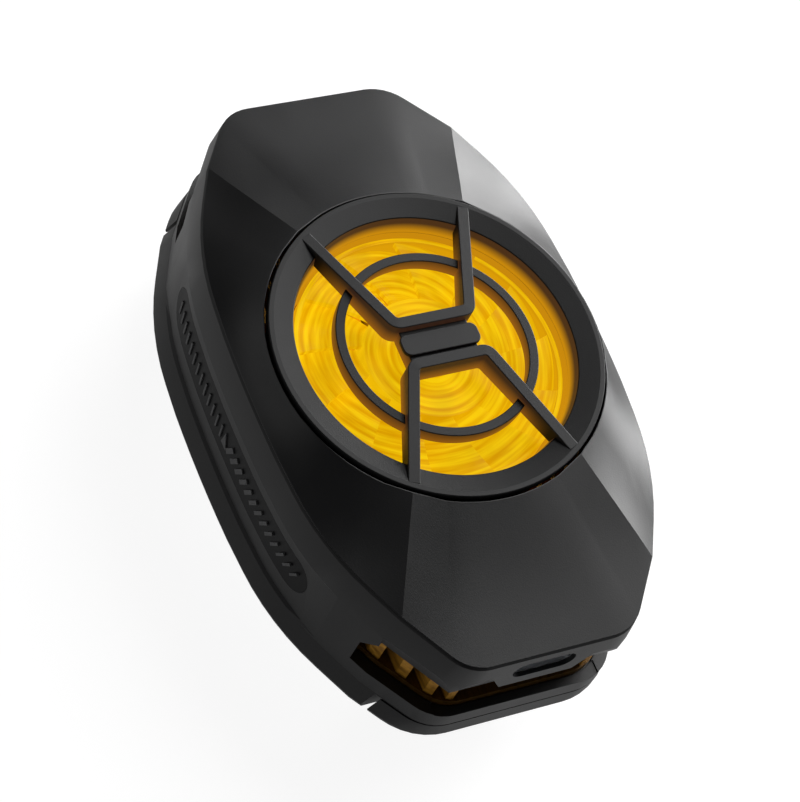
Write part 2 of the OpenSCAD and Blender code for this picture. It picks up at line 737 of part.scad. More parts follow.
module board_plan() {
    neck_y = board_y0 + port_l + neck_gap;
    polygon([[-apron_half, board_y0], [apron_half, board_y0], [apron_half, neck_y], [board_half, neck_y],
             [board_half, board_y1], [-board_half, board_y1], [-board_half, neck_y], [-apron_half, neck_y]]);
}

module board_pad() color(rubber_black) raised()
    translate([0, 0, fins_top]) linear_extrude(height = board_pad_t) board_plan();

// Board with a chip, two capacitor cans and two chokes in a row
chip = [5, 5, 0.8];
can_r = 2.4;
can_h = 2.4;
can_x = 8;
choke = [1.6, 3.2, 1.2];
choke_x = 12.4;

module board_block(x, y, size)
    bar([x - size.x / 2, y - size.y / 2, board_top - fuse],
        [x + size.x / 2, y + size.y / 2, board_top + size.z]);

module main_board() {
    chip_y = (board_y0 + port_l + board_y1) / 2;
    color("darkgreen") raised() {
        translate([0, 0, board_z]) linear_extrude(height = board_t) board_plan();
        board_block(0, chip_y, chip);
        for (side = [-1, 1]) {
            translate([side * can_x, chip_y, board_top - fuse]) cylinder(r = can_r, h = can_h + fuse);
            board_block(side * choke_x, chip_y, choke);
        }
    }
}

// Charging socket: rounded shell, closed at the back, with a contact tongue
module usb_socket() {
    shell = 0.3;
    tongue = [6.7, 0.7];
    tongue_in = 1;
    back = 1.2;
    mouth_in = 0.6;
    mouth_y = -lid_hl + mouth_in;
    color(steel) raised() translate([0, mouth_y, port_z]) {
        difference() {
            mirror([0, 1, 0]) slot_y(port_w, port_h, port_l);
            translate([0, -fuse, 0]) mirror([0, 1, 0])
                slot_y(port_w - 2 * shell, port_h - 2 * shell, port_l - back + fuse);
        }
        bar([-tongue.x / 2, tongue_in, -tongue.y / 2], [tongue.x / 2, port_l - back + fuse, tongue.y / 2]);
    }
}

// Fan frame: ring round the blades, struts, floor and the tube that holds the bush
frame_r = throat_r + frame_wall;
frame_in = throat_r + fit;
bush_r = shaft_r + shaft_gap + bush_wall;
tube_wall = 1;
tube_r = bush_r + tube_wall;
frame_gap = 0.4;
floor_r = hub_r - frame_gap;
frame_z = fins_top + frame_floor;
hub_boss_l = 1.9;
boss_z = hub_top - hub_boss_l;
tube_top = boss_z - frame_gap;

module fan_frame() {
    struts = 4;
    strut_w = 2.2;
    color(grille_black) raised() {
        tube(frame_r, frame_in, fins_top, grille_z);
        translate([0, 0, fins_top]) cylinder(r = floor_r, h = frame_floor);
        for (i = [0:struts - 1]) rotate([0, 0, 45 + i * 360 / struts])
            bar([floor_r - 1, -strut_w / 2, fins_top], [frame_in + frame_wall / 2, strut_w / 2, frame_z]);
        tube(tube_r, bush_r + seat, frame_z - fuse, tube_top);
    }
}

module bearing_bush() color([0.75, 0.55, 0.3]) raised() tube(bush_r, shaft_r + shaft_gap, frame_z, tube_top);

// Stator: a laminated core with four poles, and a coil on each pole's neck
stator_gap = 0.6;
stator_z = frame_z + stator_gap;
stator_h = tube_top - stator_z - stator_gap;
hub_wall = 0.9;
magnet_t = 1.3;
air_gap = 0.35;
magnet_in = hub_r - hub_wall - magnet_t;
pole_r = magnet_in - air_gap;
poles = 4;
pole_half = 36;
neck_w = 1.4;
shoe_t = 0.8;
core_wall = 0.9;
coil_gap = 0.1;

module stator_core() {
    color(steel) raised() translate([0, 0, stator_z]) linear_extrude(height = stator_h) difference() {
        union() {
            circle(r = tube_r + core_wall);
            for (i = [0:poles - 1]) rotate(i * 360 / poles) {
                translate([0, -neck_w / 2]) square([pole_r - shoe_t / 2, neck_w]);
                intersection() {
                    difference() {
                        circle(r = pole_r);
                        circle(r = pole_r - shoe_t);
                    }
                    polygon([[0, 0], big * [1, -tan(pole_half)], big * [1, tan(pole_half)]]);
                }
            }
        }
        circle(r = tube_r + seat);
    }
}

module stator_coils() {
    coil_t = 0.45;
    inner_r = tube_r + core_wall + coil_gap;
    outer_r = pole_r - shoe_t - coil_gap;
    color([0.7, 0.35, 0.15]) raised() for (i = [0:poles - 1]) rotate([0, 0, i * 360 / poles]) difference() {
        bar([inner_r, -neck_w / 2 - coil_t, stator_z - coil_t],
            [outer_r, neck_w / 2 + coil_t, stator_z + stator_h + coil_t]);
        bar([0, -neck_w / 2, stator_z], [big, neck_w / 2, stator_z + stator_h]);
    }
}

// Turning parts: shaft, magnet ring, and a hub with pitched blades in a ring
hub_cap_t = 1;
hub_skirt = 0.4;
shaft_lift = 0.2;
shaft_top = hub_top - hub_cap_t / 2;
magnet_end = stator_z - hub_skirt / 2;
press_gap = 0.02;

module shaft() color(steel) raised()
    translate([0, 0, frame_z + shaft_lift]) cylinder(r = shaft_r, h = shaft_top - frame_z - shaft_lift);

module rotor_magnet() color([0.25, 0.25, 0.27]) raised()
    tube(hub_r - hub_wall, magnet_in, magnet_end, hub_top - hub_cap_t - fit);

// Section of a blade at radius r: a cambered strip that rises along the turn
blade_drop = 0.6;
blade_sweep = 10;
camber = 0.35;
blade_points = 6;

function blade_section(r) =
    let (low = hub_top - blade_drop - blade_h,
         sweep = blade_sweep * (r - hub_r) / (throat_r - hub_r),
         rise = [for (i = [0:blade_points]) let (t = i / blade_points)
                 [sweep + blade_arc * (t - 0.5), low + blade_h * (t + camber * t * (1 - t))]],
         middle = [for (p = rise) [r * cos(p[0]), r * sin(p[0]), p[1]]],
         half = [0, 0, blade_t / 2])
    concat([for (p = middle) p - half], [for (i = [blade_points:-1:0]) middle[i] + half]);

module impeller() {
    stations = 4;
    ring_sides = 78;
    ring_out = throat_r - tip_gap;
    ring_in = ring_out - tip_ring_t;
    ring_low = hub_top - blade_drop - blade_h - blade_t;
    root_r = hub_r - hub_wall / 2;
    tip_r = ring_out - fit;
    hub_low = stator_z - hub_skirt;
    boss_out = shaft_r + hub_wall;
    color(fan_yellow) raised() {
        difference() {
            union() {
                tube(hub_r, hub_r - hub_wall + press_gap, hub_low, hub_top - fuse);
                translate([0, 0, hub_top - hub_cap_t]) cylinder(r = hub_r, h = hub_cap_t);
                translate([0, 0, boss_z]) cylinder(r = boss_out, h = hub_top - boss_z - fuse);
            }
            translate([0, 0, boss_z - 1]) cylinder(r = shaft_r + press_gap, h = shaft_top + fit - boss_z + 1);
        }
        loft([for (p = [[ring_out, ring_low], [ring_out, hub_top], [ring_in, hub_top], [ring_in, ring_low]])
              [for (i = [0:ring_sides - 1]) let (a = 360 * i / ring_sides) [p.x * cos(a), p.x * sin(a), p.y]]],
             ring = true);
        for (i = [0:blade_count - 1]) rotate([0, 0, i * 360 / blade_count])
            loft([for (k = [0:stations]) blade_section(root_r + (tip_r - root_r) * k / stations)]);
    }
}

// Jaw at the +Y end: end block flush with the body, slotted slide plate, claw, and posts for the springs
slide_room = 0.6;
slide_y = cold_flange + slide_room;
slide_z = cover_t + slide_gap;
claw_in = grip_half + pad_t;
hook_y = block_y - hook_back;
spring_a = post_y + post_r + seat;
spring_b = hook_y - post_r - seat;

claw_fillet = 0.5;

module claw() {
    lip_y = grip_half - lip_reach;
    out = claw_in + claw_t;
    root = block_y + fuse;
    lip_round = 0.6;
    heel_round = 2.4;
    root_round = 1;
    corner_r = 3.5;
    top = slide_z + fuse;
    profile = rounded_polygon(
        [[root, top], [grip_half, top], [grip_half, 0], [claw_in, 0],
         [claw_in, lip_t - claw_drop], [lip_y, lip_t - claw_drop], [lip_y, -claw_drop], [out, -claw_drop],
         [out, 0], [root, 0]],
        [0, 0, 0, 0, claw_fillet, lip_round, lip_round, heel_round, root_round, 0]);
    face = rounded_polygon(
        [[-claw_w / 2, -claw_drop], [claw_w / 2, -claw_drop],
         [claw_w / 2, top + fuse], [-claw_w / 2, top + fuse]],
        [corner_r, corner_r, 0, 0]);
    intersection() {
        rotate([90, 0, 90]) linear_extrude(height = claw_w, center = true) polygon(profile);
        rotate([90, 0, 0]) linear_extrude(height = big, center = true) polygon(face);
    }
}

module jaw() {
    band_top = seam_z - slide_gap;
    slot_half = coil_r + wire_r + slide_gap;
    intersection() {
        loft([for (z = [0, foot_z, band_top]) at_height(outline(out_at(z)), z)]);
        bar([-body_w, block_y, -1], [body_w, body_l, seam_z]);
    }
    difference() {
        bar([-slide_half, slide_y, slide_z], [slide_half, block_y + fuse, band_top]);
        mirrored_x() bar([spring_x - slot_half, 0, 0], [spring_x + slot_half, spring_b, seam_z]);
    }
    claw();
    mirrored_x() translate([spring_x, hook_y, slide_z])
        cylinder(r = post_r, h = deck_z - slide_gap - slide_z);
}

// Ribbed rubber pad on the claw's inner face
module jaw_pad() {
    side_margin = 1;
    half = claw_w / 2 - side_margin;
    low = lip_t - claw_drop + claw_fillet + seat;
    high = -0.4;
    grooves = 4;
    groove_r = 0.35;
    difference() {
        bar([-half, grip_half, low], [half, claw_in, high]);
        for (i = [1:grooves]) translate([0, grip_half, low + (high - low) * i / (grooves + 1)])
            rotate([0, 90, 0]) cylinder(r = groove_r, h = claw_w, center = true);
    }
}

// Pair of coil springs that draw a jaw in, from the cover's posts to the jaw's
ring_per_coil = 8;
wire_sides = 6;

function coil_centre(t) =
    let (pitch = (spring_b - spring_a - 2 * wire_r) / coils)
    [coil_r * cos(360 * t), spring_a + wire_r + pitch * t, coil_r * sin(360 * t)];
function wire_ring(t) =
    let (out = [cos(360 * t), 0, sin(360 * t)],
         ahead = unit(coil_centre(t + 0.001) - coil_centre(t - 0.001)),
         across = cross(ahead, out))
    [for (k = [0:wire_sides - 1]) let (a = 360 * k / wire_sides)
        coil_centre(t) + wire_r * (cos(a) * out + sin(a) * across)];

echo(spring_gap = norm(coil_centre(1) - coil_centre(0)) - 2 * wire_r);

module jaw_springs() {
    for (side = [-1, 1]) translate([side * spring_x, 0, (cover_t + deck_z) / 2])
        loft([for (k = [0:coils * ring_per_coil]) wire_ring(k / ring_per_coil)]);
}

module rear_jaw() color(shell_black) raised() jaw();
module rear_pad() color(rubber_black) raised() jaw_pad();
module rear_springs() color(steel) raised() jaw_springs();
module front_jaw() color(shell_black) raised() mirror([0, 1, 0]) jaw();
module front_pad() color(rubber_black) raised() mirror([0, 1, 0]) jaw_pad();
module front_springs() color(steel) raised() mirror([0, 1, 0]) jaw_springs();

top_lid();
intake_grille();
centre_plate();
mid_housing();
left_inlay();
right_inlay();
rear_cover();
case_screws();
cold_plate();
insulation_frame();
tec_module();
heat_sink();
board_pad();
main_board();
usb_socket();
fan_frame();
stator_core();
stator_coils();
bearing_bush();
shaft();
impeller();
rotor_magnet();
front_jaw();
front_pad();
front_springs();
rear_jaw();
rear_pad();
rear_springs();
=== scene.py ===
"""Looks of a clip-on phone cooler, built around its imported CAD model."""
import math

import bmesh
import bpy
from mathutils import Matrix, Vector


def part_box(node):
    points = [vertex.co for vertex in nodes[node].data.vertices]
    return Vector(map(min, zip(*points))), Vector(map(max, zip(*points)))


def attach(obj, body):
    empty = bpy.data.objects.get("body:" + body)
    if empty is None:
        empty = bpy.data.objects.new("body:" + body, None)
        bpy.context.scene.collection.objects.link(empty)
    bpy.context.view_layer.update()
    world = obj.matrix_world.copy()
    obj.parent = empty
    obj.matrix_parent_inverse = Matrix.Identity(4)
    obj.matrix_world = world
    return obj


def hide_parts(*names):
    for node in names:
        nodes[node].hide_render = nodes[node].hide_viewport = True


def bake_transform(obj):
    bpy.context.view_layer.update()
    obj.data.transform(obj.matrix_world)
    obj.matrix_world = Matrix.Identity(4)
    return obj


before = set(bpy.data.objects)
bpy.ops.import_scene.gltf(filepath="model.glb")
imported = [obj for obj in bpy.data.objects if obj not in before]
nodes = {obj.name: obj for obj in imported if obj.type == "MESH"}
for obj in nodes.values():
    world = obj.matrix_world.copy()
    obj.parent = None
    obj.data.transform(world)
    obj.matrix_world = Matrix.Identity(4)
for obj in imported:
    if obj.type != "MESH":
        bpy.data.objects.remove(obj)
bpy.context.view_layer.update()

MM = 0.001


# Camera: the view fitted to the photograph
CAMERA_AT = (-0.18995, -0.16466, 0.36669)
CAMERA_X = (0.87663, -0.374777, 0.301766)
CAMERA_Y = (0.186951, 0.843176, 0.504087)
CAMERA_Z = (-0.443362, -0.385482, 0.809218)
CLIP_START = 0.01
FOCAL_PX = 3200
FRAME_PX = 802
SENSOR_MM = 36


def add_camera():
    data = bpy.data.cameras.new("camera")
    data.sensor_width = SENSOR_MM
    data.lens = FOCAL_PX * SENSOR_MM / FRAME_PX
    data.clip_start = CLIP_START
    camera = bpy.data.objects.new("camera", data)
    axes = Matrix((CAMERA_X, CAMERA_Y, CAMERA_Z)).transposed()
    camera.matrix_world = Matrix.Translation(CAMERA_AT) @ axes.to_4x4()
    bpy.context.scene.collection.objects.link(camera)
    bpy.context.scene.camera = camera


# Materials: noise scales are per metre, bump depths in metres, and pairs run from low to high

class Nodes:
    """A new material's node tree, with short ways to add and join nodes."""

    def __init__(self, name):
        self.material = bpy.data.materials.new(name)
        self.material.use_nodes = True
        self.tree = self.material.node_tree
        self.shader = self.tree.nodes["Principled BSDF"]
        self.place = self.add("ShaderNodeTexCoord").outputs["Object"]

    def add(self, kind, **values):
        node = self.tree.nodes.new(kind)
        for key, value in values.items():
            if key in node.inputs:
                node.inputs[key].default_value = value
            else:
                setattr(node, key, value)
        return node

    def join(self, source, target):
        self.tree.links.new(source, target)

    def feed(self, source, socket):
        self.join(source, self.shader.inputs[socket])

    def noise(self, scale, detail=2.0, stretch=None, place=None):
        node = self.add("ShaderNodeTexNoise", Scale=scale, Detail=detail)
        place = place or self.place
        if stretch:
            mapping = self.add("ShaderNodeMapping", Scale=stretch)
            self.join(place, mapping.inputs["Vector"])
            place = mapping.outputs["Vector"]
        self.join(place, node.inputs["Vector"])
        return node.outputs["Fac"]

    def ramp(self, source, low, high, start=0.3, end=0.7):
        node = self.add("ShaderNodeValToRGB")
        points = node.color_ramp.elements
        points[0].position, points[0].color = start, (*low, 1)
        points[1].position, points[1].color = end, (*high, 1)
        self.join(source, node.inputs["Fac"])
        return node.outputs["Color"]

    def tones(self, source, rgb, shares):
        """Base colour that goes between two shares of one colour."""
        low, high = (tuple(c * share for c in rgb) for share in shares)
        self.feed(self.ramp(source, low, high), "Base Color")

    def range(self, source, low, high, start=0.3, end=0.7):
        node = self.add("ShaderNodeMapRange")
        sockets = ("From Min", "From Max", "To Min", "To Max")
        for key, value in zip(sockets, (start, end, low, high)):
            node.inputs[key].default_value = value
        self.join(source, node.inputs["Value"])
        return node.outputs["Result"]

    def bump(self, source, strength, distance):
        node = self.add("ShaderNodeBump", Strength=strength, Distance=distance)
        self.join(source, node.inputs["Height"])
        self.feed(node.outputs["Normal"], "Normal")

    def set(self, **values):
        for key, value in values.items():
            self.shader.inputs[key.replace("_", " ")].default_value = value


TONE_SCALE, TONE_DETAIL, TONE_SHARES = 60, 3, (0.9, 1.12)
GRAIN_SCALE, GRAIN_DEPTH = 5200, 0.00003


def moulded(name, rgb, rough, grain=0.35, specular=0.5):
    """Moulded plastic: fine spark-eroded grain, and slow changes of tone and gloss."""
    m = Nodes(name)
    slow = m.noise(TONE_SCALE, TONE_DETAIL)
    m.tones(slow, rgb, TONE_SHARES)
    m.feed(m.range(slow, *rough), "Roughness")
    m.bump(m.noise(GRAIN_SCALE), grain, GRAIN_DEPTH)
    m.set(Specular_IOR_Level=specular)
    return m.material


LINE_SCALE, LINE_DETAIL, LINE_SHARES = 900, 3, (0.85, 1)
LINE_BUMP, LINE_DEPTH = 0.15, 0.00002


def metal(name, rgb, rough=(0.28, 0.4), stretch=(1, 40, 1)):
    """Bare or plated metal with fine lines along one direction."""
    m = Nodes(name)
    lines = m.noise(LINE_SCALE, LINE_DETAIL, stretch)
    m.tones(lines, rgb, LINE_SHARES)
    m.feed(m.range(lines, *rough), "Roughness")
    m.bump(lines, LINE_BUMP, LINE_DEPTH)
    m.set(Metallic=1.0)
    return m.material


PORE_SCALE, PORE_DETAIL, PORE_SHARES = 2600, 4, (0.7, 1.3)
PORE_ROUGH, PORE_BUMP, PORE_DEPTH = (0.7, 0.85), 0.5, 0.00005


def soft(name, rgb):
    """Rubber or foam: dull, with small pores."""
    m = Nodes(name)
    pores = m.noise(PORE_SCALE, PORE_DETAIL)
    m.tones(pores, rgb, PORE_SHARES)
    m.feed(m.range(pores, *PORE_ROUGH), "Roughness")
    m.bump(pores, PORE_BUMP, PORE_DEPTH)
    return m.material


def axis_place(m):
    """The place along each axis, and the distance from the fan's axis."""
    split = m.add("ShaderNodeSeparateXYZ")
    m.join(m.place, split.inputs["Vector"])
    flat = m.add("ShaderNodeVectorMath", operation="MULTIPLY")
    flat.inputs[1].default_value = (1, 1, 0)
    m.join(m.place, flat.inputs[0])
    radius = m.add("ShaderNodeVectorMath", operation="LENGTH")
    m.join(flat.outputs["Vector"], radius.inputs[0])
    return split.outputs, radius.outputs["Value"]


STREAK_DRIFT = 0.06


def round_place(m):
    """Coordinates for streaks round the fan's axis: the radius, and a small share of X and Y."""
    along, radius = axis_place(m)
    place = m.add("ShaderNodeCombineXYZ")
    m.join(radius, place.inputs["X"])
    for axis, target in zip("XY", "YZ"):
        share = m.add("ShaderNodeMath", operation="MULTIPLY")
        share.inputs[1].default_value = STREAK_DRIFT
        m.join(along[axis], share.inputs[0])
        m.join(share.outputs[0], place.inputs[target])
    return place.outputs["Vector"]


GRILLE_RGB = (0.011, 0.011, 0.0113)
LIT_GRAIN_SCALE, LIT_SHARES = 2400, (0.8, 1.2)
LIT_ROUGH, LIT_SPECULAR = (0.42, 0.55), 0.1


def painted_glow_wall(name, heights, low_rgb, high_rgb, fade):
    """Dark plastic with a painted glow that stands in for the fan's light falling on it from below.

    The glow has one colour at the first height and another at the second. It fades out between two
    distances from the fan's axis. Heights and distances are in millimetres."""
    m = Nodes(name)
    along, radius = axis_place(m)
    height = m.range(along["Z"], 0, 1, heights[0] * MM, heights[1] * MM)
    m.feed(m.ramp(height, low_rgb, high_rgb, 0, 1), "Emission Color")
    m.feed(m.range(radius, 1, 0, fade[0] * MM, fade[1] * MM), "Emission Strength")
    grain = m.noise(LIT_GRAIN_SCALE)
    m.tones(grain, GRILLE_RGB, LIT_SHARES)
    m.feed(m.range(grain, *LIT_ROUGH), "Roughness")
    m.set(Specular_IOR_Level=LIT_SPECULAR)
    return m.material


FAN_STREAK_SCALE, FAN_STREAK_DETAIL, FAN_PATCH_SCALE = 1500, 3, 160
# Painted glow of the fan: its colours, where they change along the streaks, and its strength
FAN_GLOW = ((0.8, 0.38, 0.0), (1.0, 0.64, 0.004))
FAN_GLOW_RANGE, FAN_STRENGTH = (0.36, 0.66), (0.78, 0.96)
# A dark base colour, so that the painted glow outweighs the shading of the blades
FAN_BASE = ((0.09, 0.045, 0.001), (0.13, 0.07, 0.001))
FAN_ROUGH, FAN_SPECULAR = (0.4, 0.55), 0.04


def fan_plastic(name):
    """Yellow moulding with concentric streaks, as the turning fan shows them. Its brightness is a
    painted glow, which keeps it bright in the grille's shade and hides the shading of its blades.
    """
    m = Nodes(name)
    streaks = m.noise(FAN_STREAK_SCALE, FAN_STREAK_DETAIL, place=round_place(m))
    m.feed(m.ramp(streaks, *FAN_BASE), "Base Color")
    m.feed(m.ramp(streaks, *FAN_GLOW, *FAN_GLOW_RANGE), "Emission Color")
    m.feed(m.range(m.noise(FAN_PATCH_SCALE), *FAN_STRENGTH), "Emission Strength")
    m.feed(m.range(streaks, *FAN_ROUGH), "Roughness")
    m.set(Specular_IOR_Level=FAN_SPECULAR)
    return m.material


# Heat sink, in millimetres: where its base and fins end, and how far down and out the painted glow of
# the fan's light reaches
SINK_BASE_TOP, SINK_BASE_BLEND = 17.8, 0.4
FINS_TOP, FINS_LIT_DEPTH, FINS_LIT_FADE = 22.8, 3, (16, 18)
FINS_LIT_RGB, FINS_LIT_STRENGTH = (0.6, 0.26, 0.004, 1), 0.8
SINK_LINE_SCALE, SINK_LINE_DETAIL, SINK_LINE_STRETCH = 1400, 3, (1, 0.05, 1)
SINK_RGB = ((0.3, 0.13, 0.012), (0.56, 0.28, 0.03))
# SINK_BASE_SHADE darkens the base's colour as painted shade
SINK_BASE_SHADE, SINK_ROUGH, SINK_METALLIC, SINK_BUMP = 0.2, (0.3, 0.45), 0.6, 0.2
# A Mix node's sockets for two colours and for what they make
MIX_A, MIX_B, MIX_RESULT = 6, 7, 2


def anodised(name):
    """Amber anodised aluminium, with painted shade on the base and a painted glow of the fan's light on
    the fins that are under the fan.
    """
    m = Nodes(name)
    lines = m.noise(SINK_LINE_SCALE, SINK_LINE_DETAIL, SINK_LINE_STRETCH)
    along, radius = axis_place(m)
    blend_top = SINK_BASE_TOP + SINK_BASE_BLEND
    # Painted shade: the base is darker than the fins
    shade = m.range(along["Z"], SINK_BASE_SHADE, 1, SINK_BASE_TOP * MM, blend_top * MM)
    lit_low = FINS_TOP - FINS_LIT_DEPTH
    # Painted glow of the fan's light on the tops of the fins under the fan
    lit = m.add("ShaderNodeMath", operation="MULTIPLY")
    m.join(m.range(along["Z"], 0, FINS_LIT_STRENGTH, lit_low * MM, FINS_TOP * MM), lit.inputs[0])
    m.join(m.range(radius, 1, 0, FINS_LIT_FADE[0] * MM, FINS_LIT_FADE[1] * MM), lit.inputs[1])
    m.feed(lit.outputs[0], "Emission Strength")
    painted_shade_mix = m.add("ShaderNodeMix", data_type="RGBA", blend_type="MULTIPLY")
    painted_shade_mix.inputs["Factor"].default_value = 1
    m.join(m.ramp(lines, *SINK_RGB), painted_shade_mix.inputs[MIX_A])
    m.join(shade, painted_shade_mix.inputs[MIX_B])
    m.feed(painted_shade_mix.outputs[MIX_RESULT], "Base Color")
    m.feed(m.range(lines, *SINK_ROUGH), "Roughness")
    m.bump(lines, SINK_BUMP, LINE_DEPTH)
    m.set(Metallic=SINK_METALLIC, Emission_Color=FINS_LIT_RGB)
    return m.material


BOARD_SCALE, BOARD_GLOSS_SCALE, BOARD_ROUGH = 420.0, 800, (0.3, 0.45)
BOARD_COLOURS = {
    "Color1": (0.01, 0.09, 0.03, 1),
    "Color2": (0.012, 0.11, 0.04, 1),
    "Mortar": (0.03, 0.2, 0.08, 1),
}


def circuit_board(name):
    """Green solder mask with a grid of paler tracks."""
    m = Nodes(name)
    tracks = m.add("ShaderNodeTexBrick", Scale=BOARD_SCALE, **BOARD_COLOURS)
    m.join(m.place, tracks.inputs["Vector"])
    m.feed(tracks.outputs["Color"], "Base Color")
    m.feed(m.range(m.noise(BOARD_GLOSS_SCALE), *BOARD_ROUGH), "Roughness")
    return m.material


SHELL = moulded("shell_plastic", (0.008, 0.008, 0.0084), (0.36, 0.44), specular=0.3)
GRILLE = moulded("grille_plastic", GRILLE_RGB, (0.42, 0.5), specular=0.16)
FUNNEL = moulded("funnel_plastic", (0.006, 0.006, 0.0062), (0.3, 0.38), specular=0.13)
# Painted glow of the fan's light: LIT_SIDE on the grille's ring and brackets, LIT_THROAT on the funnel's
# throat and the fan frame, FAN_RING on the fan's outer ring
LIT_SIDE = painted_glow_wall("lit_side", (33.9, 36.4), (0.29, 0.1, 0.008), (0.03, 0.012, 0.006), (13, 18.5))
LIT_THROAT = painted_glow_wall("lit_throat", (33.3, 34.7), (0.56, 0.24, 0.004), (0.06, 0.024, 0.008),
                      (19.7, 20.2))
FAN_RING = painted_glow_wall("fan_ring", (31.5, 32.4), (0.7, 0.33, 0.002), (0.62, 0.28, 0.002), (19.7, 20.2))
INLAY = moulded("inlay_plastic", (0.005, 0.005, 0.0053), (0.42, 0.5), specular=0.12)
MARK = moulded("mark_plastic", (0.06, 0.06, 0.062), (0.4, 0.5), specular=0.3)
FAN = fan_plastic("fan_plastic")
SINK = anodised("amber_aluminium")
COLD = metal("cold_plate_metal", (0.78, 0.79, 0.8), (0.2, 0.3), (1, 30, 1))
STEEL = metal("plated_steel", (0.6, 0.61, 0.63))
COPPER = metal("copper_wire", (0.65, 0.3, 0.12), (0.3, 0.45), (1, 1, 12))
MAGNET = moulded("ferrite", (0.05, 0.05, 0.052), (0.5, 0.65))
CERAMIC = moulded("ceramic", (0.78, 0.78, 0.76), (0.35, 0.45), 0.2)
RUBBER = soft("rubber", (0.016, 0.016, 0.016))
FOAM = soft("foam", (0.03, 0.03, 0.03))
BOARD = circuit_board("solder_mask")

LOOKS = {
    "top_lid": SHELL, "mid_housing": SHELL, "rear_cover": SHELL, "front_jaw": SHELL, "rear_jaw": SHELL,
    "intake_grille": GRILLE, "centre_plate": GRILLE, "fan_frame": LIT_THROAT,
    "left_inlay": INLAY, "right_inlay": INLAY, "impeller": FAN, "heat_sink": SINK, "cold_plate": COLD,
    "case_screws": STEEL, "usb_socket": STEEL, "shaft": STEEL, "stator_core": STEEL,
    "front_springs": STEEL, "rear_springs": STEEL, "front_pad": RUBBER, "rear_pad": RUBBER,
    "board_pad": FOAM, "insulation_frame": FOAM, "main_board": BOARD, "tec_module": CERAMIC,
    "stator_coils": COPPER, "bearing_bush": COPPER, "rotor_magnet": MAGNET,
}


# Pieces

# Widths of the softened edges, in millimetres
LID_EDGE, HOUSING_EDGE, JAW_EDGE, INLAY_EDGE = 0.16, 0.14, 0.2, 0.05
FAN_EDGE, FUNNEL_EDGE, GRILLE_EDGE = 0.1, 0.1, 0.12
# Degrees between faces: edges over BEVEL_ANGLE are softened, and then those over SHARP_ANGLE stay
# sharp. The fan's blades have FAN_ANGLE for both.
BEVEL_ANGLE, SHARP_ANGLE, FAN_ANGLE = 28, 12, 40
BEVEL_SEGMENTS = 2
# Points of a CAD mesh nearer than WELD, in millimetres, are joined, and so are faces that meet at
# less than FLAT_ANGLE, in degrees
WELD, FLAT_ANGLE = 0.002, 0.4

# The flank marks lie in a row this far each way from the strip's middle, and no face of one is larger
MARK_HALF = 1.4
MARK_REACH = 21.4
MARK_AREA = 2.4
MARK_SIDE_NORMAL = 0.6
MARK_EDGE_ANGLE = 20


def paint(obj, material):
    obj.data.materials.clear()
    obj.data.materials.append(material)


def stand_for(form, name, node, body, width, look=None, second=None,
              sharp=SHARP_ANGLE, bevel=BEVEL_ANGLE):
    """A piece of this form, with softened edges and smooth curves, which stands for a CAD node.

    second, where given, is another material and a test for the faces that have it."""
    mesh = bpy.data.meshes.new(name)
    piece = bpy.data.objects.new(name, mesh)
    bpy.context.scene.collection.objects.link(piece)
    mesh.materials.append(look or LOOKS[node])
    form.normal_update()
    if second:
        mesh.materials.append(second[0])
        for face in form.faces:
            face.material_index = int(second[1](face))
    edges = [edge for edge in form.edges
             if len(edge.link_faces) == 2 and edge.calc_face_angle() > math.radians(bevel)]
    bmesh.ops.bevel(form, geom=edges, offset=width * MM, segments=BEVEL_SEGMENTS, profile=0.5,
                    affect="EDGES", clamp_overlap=True, harden_normals=False)
    for face in form.faces:
        face.smooth = True
    for edge in form.edges:
        if len(edge.link_faces) == 2:
            edge.smooth = edge.calc_face_angle() < math.radians(sharp)
    form.to_mesh(mesh)
    form.free()
    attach(piece, body)
    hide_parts(node)


def dressed(node, body, width, second=None, sharp=SHARP_ANGLE, bevel=BEVEL_ANGLE):
    """A copy of a CAD node with softened edges and smooth curves, which stands for the node."""
    form = bmesh.new()
    form.from_mesh(nodes[node].data)
    bmesh.ops.remove_doubles(form, verts=form.verts, dist=WELD * MM)
    bmesh.ops.dissolve_limit(form, angle_limit=math.radians(FLAT_ANGLE), verts=form.verts,
                             edges=form.edges)
    stand_for(form, node + "_shape", node, body, width, None, second, sharp, bevel)


def lighter_marks(node):
    """The flank inlay, with its raised marks in a lighter plastic than the strip."""
    low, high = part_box(node)
    middle = (low.z + high.z) / 2

    def is_mark(face):
        centre = face.calc_center_median()
        in_row = abs(centre.z - middle) < MARK_HALF * MM and abs(centre.y) < MARK_REACH * MM
        is_side = abs(face.normal.x) < MARK_SIDE_NORMAL
        is_raised = all(edge.calc_face_angle_signed(0) > math.radians(MARK_EDGE_ANGLE)
                        for edge in face.edges)
        return in_row and face.calc_area() < MARK_AREA * MM * MM and (is_side or is_raised)

    dressed(node, "housing", INLAY_EDGE, (MARK, is_mark))


# Grille, in millimetres: heights are measured down from its top
RIM_R, RIM_LIP, RIM_TOP, RIM_DEPTH = 23, 0.7, 1.2, 1.3
FUNNEL_R, FUNNEL_DEPTH = 19.5, 0.65
THROAT_R, THROAT_WALL, THROAT_LOW = 18.95, 1.6, 4.6
RING_R, RING_W, RING_TOP, RING_DEPTH = 13.9, 1.3, 1.7, 2
SPOKE_W, SPOKE_DEPTH, SPOKE_END_DEPTH = 1.62, 3.5, 1.2
BAR_HALF, BAR_Y, BEND_R = 5.5, 3.1, 1.25
SHELF_TOP, SHELF_INSET = 1.2, 0.5
PLATE_CORNER_R, PLATE_INSET, PLATE_DROP = 1.1, 0.08, 0.4
# Direction in which a bracket's arm meets the rim, in degrees from X
RIDGE_ANGLE = 58
